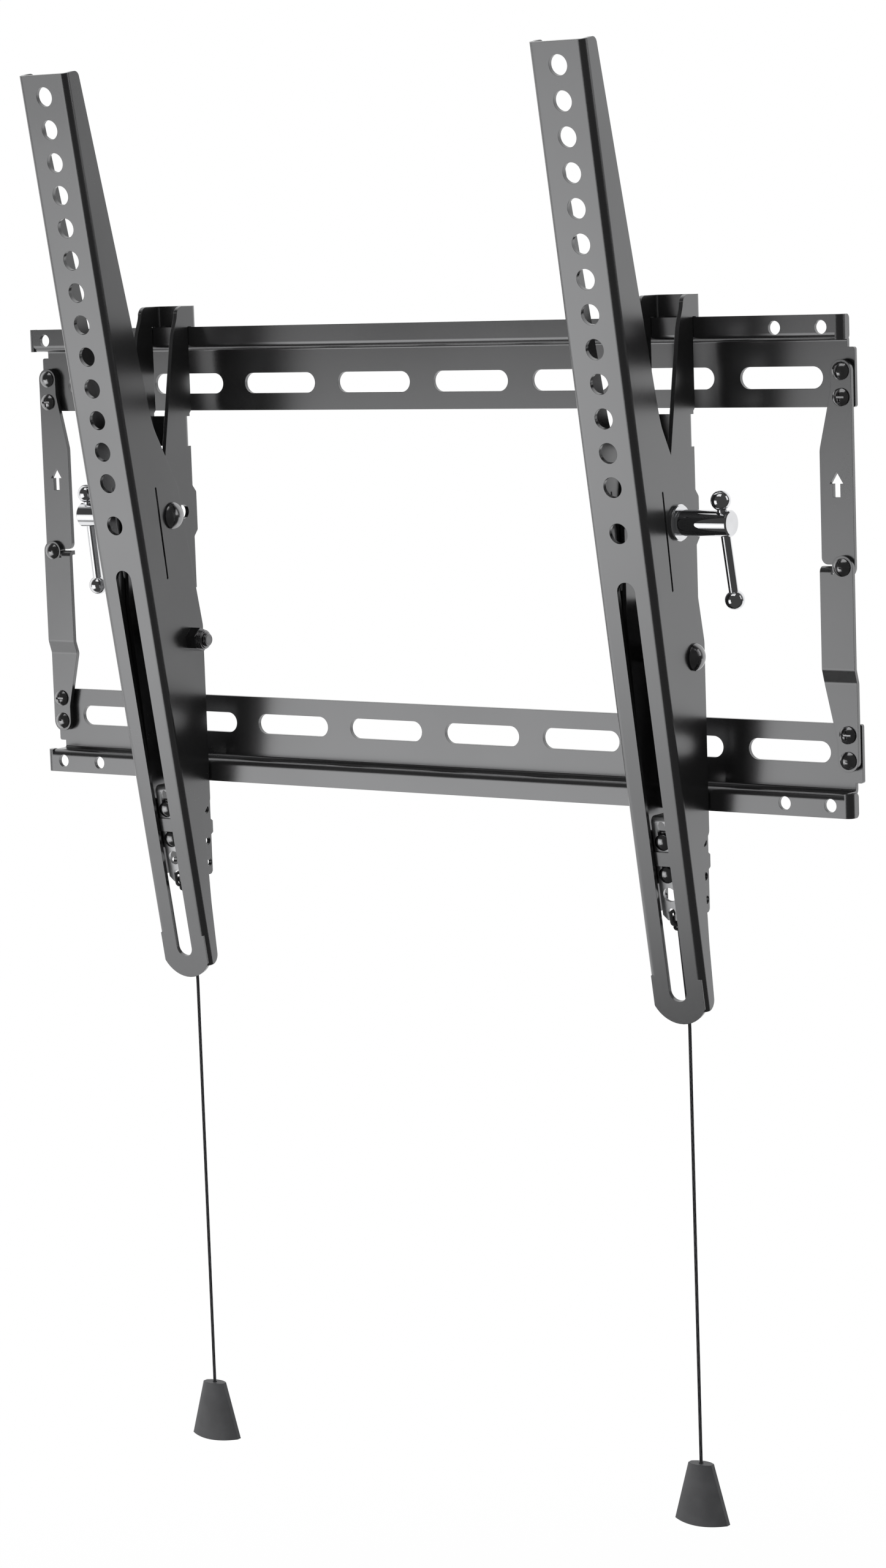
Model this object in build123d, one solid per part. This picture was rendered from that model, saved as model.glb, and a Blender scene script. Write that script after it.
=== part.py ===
from build123d import *
import math
import os

# Tilting wall bracket for a flat television. A folding wall plate, made of two slotted rails and
# four links, carries two arms. Each arm tilts on a hanger that hooks over the upper rail, is held
# at its angle by a clamp lever and is locked under the lower rail by a latch with a pull cord.
# Millimetres. +X is right, +Y into the wall, +Z up. The origin is the middle of the wall plate,
# on the wall.

os.makedirs("parts", exist_ok=True)

# Sheet metal
SHEET = 2.0
INNER_BEND = 1.0
FOLD = INNER_BEND + SHEET / 2

# Rails
PLATE_LENGTH = 450.0
PLATE_HEIGHT = 215.4
HOOK_STRIP = 10.65
WALL_STRIP = 29.05
RAIL_STEP = 12.5
SLOT_COUNT = 8
SLOT_END_ROOM = 9.0
SLOT_LENGTH = 41.0
SLOT_WIDTH = 9.5
SLOT_DROP = 16.35
RAIL_HOLE = 6.0
RAIL_HOLE_SPACING = 22.6
RAIL_HOLE_INSET = 10.4
END_FLANGE = 6.5
END_NOTCH = 3.5

# Folding links
LOBE = 5.0
LINK_WIDTH = 16.0
LINK_DROP = 13.55
SCREW_SPACING = 11.1
SHOULDER_DROP = 7.5
SHOULDER_LENGTH = 26.0
JOGGLE_DROP = 6.0
JOGGLE_LENGTH = 6.0
KNEE_GAP = 1.0
SPACER = 1.5
STOP_GAP = 0.7
STOP_WIDTH = 5.5
STOP_BEND = 0.6
LINK_OUTER_CURVE = 8.0
LINK_INNER_CURVE = 12.0
KNEE_CORNER = 3.0
JOGGLE_CURVE = 3.0
ARROW_WIDTH = 6.5
ARROW_HEAD = 5.2
ARROW_SHAFT = 3.5
ARROW_LENGTH = 11.0
ARROW_DROP = 9.2
ARROW_INSET = 3.0

# Plate fasteners
RIVET_SHANK = 4.0
RIVET_HEAD = 7.8
RIVET_DOME = 2.2
RIVET_RIM = 0.5
RIVET_TAIL = 6.0
TAIL_HEIGHT = 1.0
SCREW_HEAD = 7.7
SCREW_DOME = 2.4
SCREW_RIM = 0.7
SCREW_SHANK = 4.0
CROSS_WIDTH = 0.9
CROSS_LENGTH = 4.4
CROSS_DEPTH = 1.2

# Tilting arms, drawn about their pivot
TILT = 10.5
RIGHT_ARM = 140.1
LEFT_ARM = -137.6
PIVOT_OUT = 21.5
PIVOT_DROP = 39.0
ARM_WIDTH = 28.0
WEB_OUT = 26.3
ARM_ABOVE = 272.5
EAR_BELOW = 155.5
TONGUE_BELOW = 162.1
TONGUE_WIDTH = 26.0
TONGUE_DROP = 7.9
TONGUE_ROOT = 14.0
HOLE_COUNT = 13
HOLE_PITCH = 15.0
HOLE_BORE = 9.0
HOLE_INSET = 10.0
LONE_HOLE = 62.2
ARM_SLOT_TOP = 40.5
ARM_SLOT_LENGTH = 192.0
EAR_TOP_DEPTH = 9.7
EAR_NECK_DEPTH = 22.0
EAR_NECK = 104.5
EAR_SHOULDER_DEPTH = 33.0
EAR_SHOULDER = 73.0
EAR_HEEL = 8.2
EAR_HEEL_TOP = 4.5
EAR_HEEL_END = 78.5
EAR_FOOT_DEPTH = 13.6
EAR_FOOT = 83.0
EAR_SHIN_DEPTH = 8.8
EAR_SHIN = 126.0
EAR_END_DEPTH = 6.8
EAR_TOP_CURVE = 3.0
EAR_NECK_CURVE = 30.0
EAR_SHOULDER_CURVE = 14.0
EAR_HEEL_CURVE = 8.0
EAR_HEEL_END_CURVE = 3.5
EAR_FOOT_CURVE = 2.5
EAR_SHIN_CURVE = 80.0
EAR_END_CURVE = 4.5
EAR_ROOM = 2.0
SLIT_TOP = 76.5
SLIT_LENGTH = 44.0
SLIT_WIDTH = 1.2
SLIT_DEPTH = 15.9
SLIT_LEAN = 2.3

# Tilt hardware
BOLT = 6.0
TURNING_FIT = 0.05
CLAMP_RADIUS = 60.3
CLAMP_HEAD = 12.8
PIVOT_HEAD = 12.3
HEAD_HEIGHT = 4.2
HEAD_RIM = 0.8
NUT_FLATS = 10.0
NUT_HEX = 5.5
NUT_LENGTH = 8.0
NUT_COLLAR = 9.0
THREAD_END = 1.8
BOLT_EDGE = 0.6
BOLT_IN_LEVER = 12.0

# Clamp levers
WASHER = 16.0
WASHER_SHEET = 1.6
WASHER_EDGE = 0.4
LEVER_SHAFT = 11.4
LEVER_LENGTH = 25.2
LEVER_EDGE = 0.6
BAR = 4.3
BAR_PLACE = 21.2
BALL = 8.8
BALL_SPACING = 44.5
BALL_REST = 0.1
RIGHT_LEAN = 12.7
LEFT_LEAN = 7.2

# Hangers
SIDE_PLAY = 0.3
HOOK_TOP = 9.8
HOOK_ROOM = 0.3
HOOK_LIP = 4.8
LIP_LENGTH = 16.5
HANGER_BACK = 14.0
HANGER_FRONT = 38.6
HANGER_GAP = 3.15
HANGER_BELOW = 45.3
HOOK_FRONT = 20.5
HOOK_THROAT = 5.0
NECK_FRONT = 24.0
NECK_DROP = 3.3
TAIL_BACK = 10.8
TAIL_START = 2.8
KEY_START = 18.8
KEY_HEIGHT = 7.5
KEY_DEPTH = 1.5
KEY_SLANT = 1.0
EDGE_EASE = 0.6
LOWER_EASE = 0.2
HOOK_CURVE = 4.0
LIP_CORNER = 1.5
EDGE_CORNER = 1.0
TAIL_CORNER = 2.0
KNEE_CURVE = 10.0
FRONT_CURVE = 30.0
FRONT_DROP = 2.0
NECK_CURVE = 20.0
THROAT_CURVE = 10.0
ARC_WIDTH = 6.6
ARC_RIM = 6.8
BUMP_HALF = 9.0
BUMP_SLANT = 3.0
ARC_FIRST = 89.5
ARC_PLAY = 1.0
SMALL_HOLE = 3.6
SMALL_HOLE_DEPTHS = [13.8, 13.6, 13.0]
SMALL_HOLE_DROPS = [14.0, 29.1, 39.6]
UPPER_WEB = 14.0
UPPER_WEB_DROP = 2.0
LOWER_WEB_TOP = 82.05
LOWER_WEB_BOTTOM = 2.05

# Latches, drawn down the slope of the arm
FLAP_GAP = 0.2
FLAP_EASE = 0.05
FLAP_TOP = 6.0
LEDGE_DROP = 31.3
LATCH_SHEET = 1.5
LATCH_WIDTH = 9.5
LATCH_BEND = 1.0
LATCH_GAP = 0.8
LATCH_LIP = 4.2
LATCH_LIP_GAP = 0.6
LATCH_LENGTH = 48.0
LATCH_RIVET = 3.6
LATCH_RIVET_HEAD = 7.4
LATCH_RIVET_DOME = 1.7
LATCH_RIVET_RIM = 0.4
LATCH_RIVET_TAIL = 5.4
FIRST_RIVET = 11.7
SECOND_RIVET = 26.8
LATCH_SLOT_FREE = 7.4
LATCH_SLOT_WIDTH = 4.2
LATCH_HOLE = 6.5
LATCH_HOLE_PLACE = 36.0
CORD_HOLE = 3.6
CORD_HOLE_PLACE = 44.1
LATCH_CORNER = 2.4
STRAP_TOP = 16.0
STRAP_HEIGHT = 6.5
STRAP_SHEET = 1.0
STRAP_LEG = 1.5
STRAP_PLAY = 0.45
SPRING_OUTER = 6.0
SPRING_WIRE = 0.8
SPRING_TURNS = 7
SPRING_OUT = 16.0
SPRING_SEAT = 0.05

# Pull cords and handles
CORD = 1.5
KNOT = 6.0
KNOT_DEPTH = 7.3
KNOT_PLACE = 51.0
LOOP_GAP = 0.3
CORD_CLEARANCE = 3.1
CORD_KNOT_DEPTH = 18.1
CORD_START = -160.2
CORD_END = -409.5
CORD_ARC = 150.0
LOOP_BENDS = [1.4, 1.0, 1.0]
HANDLE_TOP = -405.5
HANDLE_HEIGHT = 28.0
HANDLE_TOP_WIDTH = 12.0
HANDLE_WIDTH = 28.0
HANDLE_TOP_DEPTH = 7.0
HANDLE_DEPTH = 10.0
HANDLE_EDGE = 2.5
HANDLE_BORE = 2.2
HANDLE_SAG = 1.0

# Places worked out from the sizes above
RAIL_TOP = PLATE_HEIGHT / 2
STEP_UNDER = RAIL_TOP - HOOK_STRIP
STRIP_EDGE = STEP_UNDER - WALL_STRIP
SLOT_PITCH = (PLATE_LENGTH - 2 * SLOT_END_ROOM) / SLOT_COUNT
SLOT_ROW = STEP_UNDER - SLOT_DROP
LINK_X = PLATE_LENGTH / 2 - LOBE
LINK_PIVOT = STEP_UNDER - LINK_DROP
SCREW_HEIGHT = LINK_PIVOT - SCREW_SPACING
SHOULDER_START = LINK_PIVOT - SHOULDER_DROP
SHOULDER_END = SHOULDER_START - SHOULDER_LENGTH
JOGGLE_START = SHOULDER_END - JOGGLE_DROP
ARROW_TOP = SHOULDER_END - ARROW_DROP
HALF_ARM = ARM_WIDTH / 2
HALF_HANGER = HALF_ARM - SHEET - SIDE_PLAY
HANGER_INSIDE = HALF_HANGER - SHEET
WEB_FRONT = -WEB_OUT
WEB_BACK = SHEET - WEB_OUT
SLOPE = math.tan(math.radians(TILT))
TILTED = Pos(0, -PIVOT_OUT, -PIVOT_DROP) * Rot(TILT, 0, 0)


def tilted_point(depth, height):
    """World y and z of a point of the tilted arm, given behind its web's front and above its pivot."""
    angle = math.radians(TILT)
    y = depth - WEB_OUT
    return (y * math.cos(angle) - height * math.sin(angle) - PIVOT_OUT,
            y * math.sin(angle) + height * math.cos(angle) - PIVOT_DROP)


def height_on_slope(depth, z):
    """Height above the pivot at which a line of the tilted arm, at one depth, passes world z."""
    angle = math.radians(TILT)
    return (z + PIVOT_DROP - (depth - WEB_OUT) * math.sin(angle)) / math.cos(angle)


def face_of(*corners):
    """Flat face from corners given as (a, b) or (a, b, radius)."""
    points = [corner[:2] for corner in corners]
    radii = [corner[2] if len(corner) > 2 else 0 for corner in corners]
    return make_face(FilletPolyline(*points, radius=radii, close=True))


def side_plate(face, x_from, x_to):
    """Plate from a face drawn as (y, z)."""
    return extrude(Plane.YZ.offset(x_from) * face, amount=x_to - x_from)


def front_plate(face, y_front, y_back):
    """Plate from a face drawn as (x, z)."""
    return extrude(Plane.XZ.offset(-y_back) * face, amount=y_back - y_front)


def folded_sheet(points, fold, sheet):
    """Section of a folded sheet about the middle line through the points."""
    return trace(FilletPolyline(*points, radius=fold), line_width=sheet)


def pin_x(diameter, x_from, x_to, y=0.0, z=0.0):
    """Round bar along X."""
    bar = Cylinder(diameter / 2, x_to - x_from, align=(Align.CENTER, Align.CENTER, Align.MIN))
    return Pos(x_from, y, z) * Rot(0, 90, 0) * bar


def pin_y(diameter, y_front, y_back, x=0.0, z=0.0):
    """Round bar along Y."""
    bar = Cylinder(diameter / 2, y_back - y_front, align=(Align.CENTER, Align.CENTER, Align.MIN))
    return Pos(x, y_back, z) * Rot(90, 0, 0) * bar


def domed_head(diameter, height, rim):
    """Round head on z = 0 with a short straight rim under a spherical crown."""
    radius = diameter / 2
    crown = height - rim
    sphere = (radius ** 2 + crown ** 2) / (2 * crown)
    half = math.asin(radius / sphere) / 2
    middle = (sphere * math.sin(half), height - sphere + sphere * math.cos(half))
    border = Polyline((0, height), (0, 0), (radius, 0), (radius, rim))
    arc = ThreePointArc((radius, rim), middle, (0, height))
    return revolve(Plane.XZ * make_face([border, arc]), axis=Axis.Z)


FRONT = Rot(90, 0, 0)
OUTWARD = Rot(0, 90, 0)
INWARD = Rot(0, -90, 0)


def rail():
    """Upper rail: slotted strip on the wall, step, and the forward strip that carries the arms."""
    middle = [(-SHEET / 2, STRIP_EDGE), (-SHEET / 2, STEP_UNDER + SHEET / 2),
              (SHEET / 2 - RAIL_STEP, STEP_UNDER + SHEET / 2), (SHEET / 2 - RAIL_STEP, RAIL_TOP)]
    half = PLATE_LENGTH / 2
    strips = side_plate(folded_sheet(middle, FOLD, SHEET), END_NOTCH - half, half - END_NOTCH)
    wall_strip = front_plate(
        face_of((-half, STRIP_EDGE, 1), (half, STRIP_EDGE, 1),
                (half, STEP_UNDER - END_NOTCH, 1), (-half, STEP_UNDER - END_NOTCH, 1)), -SHEET, 0)
    flange_x = half - SHEET / 2
    flanges = folded_sheet(
        [(-flange_x, END_FLANGE - RAIL_STEP), (-flange_x, SHEET / 2 - RAIL_STEP),
         (flange_x, SHEET / 2 - RAIL_STEP), (flange_x, END_FLANGE - RAIL_STEP)], FOLD, SHEET)
    lower = STEP_UNDER + INNER_BEND + SHEET
    forward = Pos(0, 0, lower) * extrude(flanges, amount=RAIL_TOP - lower)
    corner = Box(END_NOTCH, RAIL_STEP, lower - STEP_UNDER, align=(Align.MIN, Align.MIN, Align.MIN))
    ends = Pos(0, 0, STEP_UNDER) * extrude(flanges, amount=lower - STEP_UNDER)
    ends = ends & (Pos(half - END_NOTCH, -RAIL_STEP, STEP_UNDER) * corner
                   + Pos(-half, -RAIL_STEP, STEP_UNDER) * corner)
    body = strips + wall_strip + forward + ends
    trim = face_of((-END_FLANGE, -1), (0, -1), (0, HOOK_STRIP + 1), (-END_FLANGE, HOOK_STRIP + 1))
    rounded = face_of((-END_FLANGE, 0), (0, 0, 2), (0, HOOK_STRIP, 2), (-END_FLANGE, HOOK_STRIP))
    corners = Pos(0, END_FLANGE - RAIL_STEP, STEP_UNDER) * side_plate(trim - rounded, -half, half)
    middle_block = Box(PLATE_LENGTH - 2 * SHEET - 2 * INNER_BEND, 4 * RAIL_STEP, 4 * RAIL_TOP)
    body = body - (corners - middle_block)
    for index in range(SLOT_COUNT):
        x = (index - (SLOT_COUNT - 1) / 2) * SLOT_PITCH
        slot = SlotOverall(SLOT_LENGTH, SLOT_WIDTH)
        body -= front_plate(Pos(x, SLOT_ROW) * slot, -SHEET - 1, 1)
    strip_middle = (STEP_UNDER + RAIL_TOP) / 2
    for side in (-1, 1):
        outer = side * (half - RAIL_HOLE_INSET)
        for x in (outer, outer - side * RAIL_HOLE_SPACING):
            body -= pin_y(RAIL_HOLE, -RAIL_STEP - 1, -RAIL_STEP + SHEET + 1, x, strip_middle)
        for z in (LINK_PIVOT, SCREW_HEIGHT):
            body -= pin_y(RIVET_SHANK, -SHEET - 1, 1, side * LINK_X, z)
    return body


def link_face(inner_end, end_radius):
    """Outline of a right-hand link above the middle, from its rail pivot to the knee."""
    body = face_of((LOBE, LINK_PIVOT), (-LOBE, LINK_PIVOT), (-LOBE, SHOULDER_START, LINK_OUTER_CURVE),
                   (LOBE - LINK_WIDTH, SHOULDER_END, LINK_INNER_CURVE),
                   (LOBE - LINK_WIDTH, inner_end, end_radius),
                   (-LOBE / 2, inner_end, 0.5), (-LOBE / 2, 0), (LOBE, 0))
    face = body + Pos(0, LINK_PIVOT) * Circle(LOBE) + Circle(LOBE)
    for z in (0, LINK_PIVOT, SCREW_HEIGHT):
        face -= Pos(0, z) * Circle(RIVET_SHANK / 2)
    return face


def upper_link():
    """Right-hand upper link, flat, with an arrow cut out of it."""
    half_head = ARROW_WIDTH / 2
    half_shaft = ARROW_SHAFT / 2
    neck = ARROW_TOP - ARROW_HEAD
    arrow = face_of((0, ARROW_TOP), (half_head, neck), (half_shaft, neck),
                    (half_shaft, ARROW_TOP - ARROW_LENGTH), (-half_shaft, ARROW_TOP - ARROW_LENGTH),
                    (-half_shaft, neck), (-half_head, neck))
    face = link_face(KNEE_GAP, KNEE_CORNER) - Pos(-ARROW_INSET, 0) * arrow
    return Pos(LINK_X, 0, 0) * front_plate(face, -2 * SHEET - SPACER, -SHEET - SPACER)


def lower_link():
    """Right-hand lower link: it passes in front of the knee and steps back one sheet further down."""
    back = -SHEET - SPACER
    top = LOBE + SHEET
    flat_front = back - 2 * SHEET
    end = JOGGLE_START + JOGGLE_LENGTH
    section = face_of((flat_front, top), (flat_front + SHEET, top),
                      (flat_front + SHEET, -JOGGLE_START, JOGGLE_CURVE), (back, -end, JOGGLE_CURVE),
                      (back, -LINK_PIVOT - 2 * LOBE), (back - SHEET, -LINK_PIVOT - 2 * LOBE),
                      (back - SHEET, -end, JOGGLE_CURVE), (flat_front, -JOGGLE_START, JOGGLE_CURVE))
    outline = mirror(link_face(INNER_BEND + SHEET, 0), about=Plane.XZ)
    sheet = side_plate(section, LOBE - LINK_WIDTH, LOBE) & front_plate(outline, flat_front, back)
    fold = SHEET / 2 + STOP_BEND
    tab_middle = KNEE_GAP - STOP_GAP - SHEET / 2
    tab = folded_sheet([(flat_front + SHEET / 2, -INNER_BEND - 2 * SHEET),
                        (flat_front + SHEET / 2, tab_middle), (back, tab_middle)], fold, SHEET)
    tab = side_plate(tab, LOBE - LINK_WIDTH, LOBE - LINK_WIDTH + STOP_WIDTH)
    return Pos(LINK_X, 0, 0) * (sheet + tab)


def both_sides(solid):
    """A solid and its mirror image on the other side of the plate."""
    return [solid, mirror(solid, about=Plane.YZ)]


def rail_rivets():
    """Four rivets that join the links to the rails, with their tails flush in the rails."""
    front = -2 * SHEET - SPACER
    rivet = Pos(LINK_X, front, 0) * FRONT * domed_head(RIVET_HEAD, RIVET_DOME, RIVET_RIM)
    rivet += pin_y(RIVET_SHANK, front, 0, LINK_X, 0)
    upper = Pos(0, 0, LINK_PIVOT) * rivet
    lower = Pos(0, 0, -LINK_PIVOT) * rivet
    return both_sides(upper) + both_sides(lower)


def knee_rivets():
    """Two rivets that join the upper and lower links at the knee."""
    front = -3 * SHEET - SPACER
    back = -SHEET - SPACER
    rivet = Pos(LINK_X, front, 0) * FRONT * domed_head(RIVET_HEAD, RIVET_DOME, RIVET_RIM)
    rivet += pin_y(RIVET_SHANK, front, back, LINK_X, 0)
    rivet += pin_y(RIVET_TAIL, back, back + TAIL_HEIGHT, LINK_X, 0)
    return both_sides(rivet)


def lock_screws():
    """Four cross-head screws that hold the plate unfolded."""
    front = -2 * SHEET - SPACER
    head = domed_head(SCREW_HEAD, SCREW_DOME, SCREW_RIM)
    recess = Box(CROSS_WIDTH, CROSS_LENGTH, CROSS_DEPTH) + Box(CROSS_LENGTH, CROSS_WIDTH, CROSS_DEPTH)
    head -= Pos(0, 0, SCREW_DOME - CROSS_DEPTH / 2) * recess
    screw = Pos(LINK_X, front, 0) * FRONT * head + pin_y(SCREW_SHANK, front, 0, LINK_X, 0)
    upper = Pos(0, 0, SCREW_HEIGHT) * screw
    lower = Pos(0, 0, -SCREW_HEIGHT) * screw
    return both_sides(upper) + both_sides(lower)


def link_spacers():
    """Four washers between the links and the rails, each round a rivet and a screw."""
    z = (LINK_PIVOT + SCREW_HEIGHT) / 2
    face = Rot(0, 0, 90) * SlotCenterToCenter(LINK_PIVOT - SCREW_HEIGHT, 2 * LOBE - 1)
    for end in (-1, 1):
        face -= Pos(0, end * (LINK_PIVOT - SCREW_HEIGHT) / 2) * Circle(RIVET_SHANK / 2)
    spacer = Pos(LINK_X, 0, 0) * front_plate(face, -SHEET - SPACER, -SHEET)
    return both_sides(Pos(0, 0, z) * spacer) + both_sides(Pos(0, 0, -z) * spacer)


def arm():
    """Tilting arm: a folded channel whose ears straddle the hanger, drawn upright about its pivot."""
    back = WEB_FRONT + EAR_SHOULDER_DEPTH + SHEET + EAR_ROOM
    channel = folded_sheet([(SHEET / 2 - HALF_ARM, back), (SHEET / 2 - HALF_ARM, WEB_FRONT + SHEET / 2),
                            (HALF_ARM - SHEET / 2, WEB_FRONT + SHEET / 2),
                            (HALF_ARM - SHEET / 2, back)], FOLD, SHEET)
    channel = Pos(0, 0, -EAR_BELOW) * extrude(channel, amount=ARM_ABOVE + EAR_BELOW)
    ear = face_of((WEB_FRONT, ARM_ABOVE), (WEB_FRONT + EAR_TOP_DEPTH, ARM_ABOVE, EAR_TOP_CURVE),
                  (WEB_FRONT + EAR_NECK_DEPTH, EAR_NECK, EAR_NECK_CURVE),
                  (WEB_FRONT + EAR_SHOULDER_DEPTH, EAR_SHOULDER, EAR_SHOULDER_CURVE),
                  (EAR_HEEL + EAR_HEEL_TOP * SLOPE, EAR_HEEL_TOP, EAR_HEEL_CURVE),
                  (EAR_HEEL - EAR_HEEL_END * SLOPE, -EAR_HEEL_END, EAR_HEEL_END_CURVE),
                  (WEB_FRONT + EAR_FOOT_DEPTH, -EAR_FOOT, EAR_FOOT_CURVE),
                  (WEB_FRONT + EAR_SHIN_DEPTH, -EAR_SHIN, EAR_SHIN_CURVE),
                  (WEB_FRONT + EAR_END_DEPTH, -EAR_BELOW, EAR_END_CURVE), (WEB_FRONT, -EAR_BELOW))
    body = channel & side_plate(ear, -HALF_ARM, HALF_ARM)
    tongue_half = TONGUE_WIDTH / 2
    arc_start = TONGUE_DROP - TONGUE_BELOW
    root = arc_start + TONGUE_ROOT
    border = Polyline((tongue_half, arc_start), (tongue_half, root), (-tongue_half, root),
                      (-tongue_half, arc_start))
    arc = ThreePointArc((-tongue_half, arc_start), (0, -TONGUE_BELOW), (tongue_half, arc_start))
    body += front_plate(make_face([border, arc]), WEB_FRONT, WEB_BACK)
    for index in range(HOLE_COUNT):
        height = ARM_ABOVE - HOLE_INSET - index * HOLE_PITCH
        body -= pin_y(HOLE_BORE, WEB_FRONT - 1, WEB_BACK + 1, 0, height)
    body -= pin_y(HOLE_BORE, WEB_FRONT - 1, WEB_BACK + 1, 0, LONE_HOLE)
    slot = Rot(0, 0, 90) * SlotOverall(ARM_SLOT_LENGTH, HOLE_BORE)
    slot_middle = ARM_SLOT_TOP - ARM_SLOT_LENGTH / 2
    body -= front_plate(Pos(0, slot_middle) * slot, WEB_FRONT - 1, WEB_BACK + 1)
    slit = Pos(WEB_FRONT + SLIT_DEPTH, SLIT_TOP - SLIT_LENGTH / 2)
    slit = slit * Rot(0, 0, 90 - SLIT_LEAN) * SlotOverall(SLIT_LENGTH, SLIT_WIDTH)
    body -= side_plate(slit, -HALF_ARM - 1, HALF_ARM + 1)
    hole = BOLT + 2 * TURNING_FIT
    body -= pin_x(hole, -HALF_ARM - 1, HALF_ARM + 1)
    body -= pin_x(hole, -HALF_ARM - 1, HALF_ARM + 1, 0, CLAMP_RADIUS)
    return TILTED * body


def pivot_bolt():
    """Bolt on which an arm tilts, its domed head on the outer side."""
    end = -HALF_ARM - NUT_LENGTH - THREAD_END
    bolt = Pos(HALF_ARM, 0, 0) * OUTWARD * domed_head(PIVOT_HEAD, HEAD_HEIGHT, HEAD_RIM)
    bolt += pin_x(BOLT, end, HALF_ARM)
    return TILTED * chamfer(bolt.edges().sort_by(Axis.X)[0], BOLT_EDGE)


def pivot_nut():
    """Locking nut on the inner end of the pivot bolt, with a round collar."""
    hexagon = RegularPolygon(NUT_FLATS / 2, 6, major_radius=False)
    nut = extrude(hexagon, amount=NUT_HEX)
    collar = Cylinder(NUT_COLLAR / 2, NUT_LENGTH, align=(Align.CENTER, Align.CENTER, Align.MIN))
    nut += fillet(collar.edges().sort_by(Axis.Z)[-1], 1)
    nut -= Cylinder(BOLT / 2 + TURNING_FIT, 4 * NUT_LENGTH)
    return TILTED * Pos(-HALF_ARM, 0, 0) * INWARD * nut


def clamp_bolt():
    """Bolt through the arc slots, its domed head inside and its thread in the lever."""
    bolt = Pos(-HALF_ARM, 0, 0) * INWARD * domed_head(CLAMP_HEAD, HEAD_HEIGHT, HEAD_RIM)
    bolt += pin_x(BOLT, -HALF_ARM, HALF_ARM + WASHER_SHEET + BOLT_IN_LEVER)
    return TILTED * Pos(0, 0, CLAMP_RADIUS) * bolt


def lever_washer():
    """Washer between an ear and the lever."""
    washer = pin_x(WASHER, HALF_ARM, HALF_ARM + WASHER_SHEET)
    washer = chamfer(washer.edges().sort_by(Axis.X)[-1], WASHER_EDGE)
    washer -= pin_x(BOLT + 2 * TURNING_FIT, 0, 2 * ARM_WIDTH)
    return TILTED * Pos(0, 0, CLAMP_RADIUS) * washer


def lever_place(lean):
    """Place of the lever axis with the bar leaning back at its lower end."""
    y, z = tilted_point(WEB_OUT, CLAMP_RADIUS)
    return Pos(0, y, z) * Rot(lean, 0, 0)


def lever_shaft(lean):
    """Long round nut that the bar turns, open at the ear for the clamp bolt."""
    start = HALF_ARM + WASHER_SHEET
    shaft = pin_x(LEVER_SHAFT, start + TURNING_FIT, start + LEVER_LENGTH)
    shaft = chamfer(shaft.edges().group_by(Axis.X)[-1], LEVER_EDGE)
    shaft -= pin_x(BOLT + 2 * TURNING_FIT, start - 1, start + BOLT_IN_LEVER + 1)
    cross = Cylinder(BAR / 2 + TURNING_FIT, 2 * LEVER_SHAFT)
    shaft -= Pos(start + BAR_PLACE, 0, 0) * cross
    return lever_place(lean) * shaft


def tbar(lean):
    """Sliding bar of the lever, dropped until its upper ball rests on the shaft."""
    top = (LEVER_SHAFT + BALL) / 2 + BALL_REST
    bar = Cylinder(BAR / 2, BALL_SPACING, align=(Align.CENTER, Align.CENTER, Align.MAX))
    return lever_place(lean) * Pos(HALF_ARM + WASHER_SHEET + BAR_PLACE, 0, top) * bar


def tbar_balls(lean):
    """Two balls on the ends of the bar."""
    top = (LEVER_SHAFT + BALL) / 2 + BALL_REST
    bore = Cylinder(BAR / 2, BALL, align=(Align.CENTER, Align.CENTER, Align.MAX))
    upper = Sphere(BALL / 2) - bore
    lower = Rot(180, 0, 0) * upper
    place = lever_place(lean) * Pos(HALF_ARM + WASHER_SHEET + BAR_PLACE, 0, top)
    return [place * upper, place * Pos(0, 0, -BALL_SPACING) * lower]


LATCH_FRONT = HANGER_GAP + SHEET + FLAP_EASE - FLAP_GAP - LATCH_SHEET
FLAP_FRONT = LATCH_FRONT + LATCH_SHEET + FLAP_GAP
LATCH_MIDDLE = LATCH_FRONT + LATCH_SHEET / 2
SHELF_TOP = -RAIL_TOP - LATCH_GAP
LATCH_ZERO = height_on_slope(LATCH_MIDDLE, SHELF_TOP)
ARM_END = tilted_point(SHEET, -TONGUE_BELOW)[1]
CORD_BACK = tilted_point(SHEET, -TONGUE_BELOW)[0] + CORD_CLEARANCE + CORD


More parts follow.
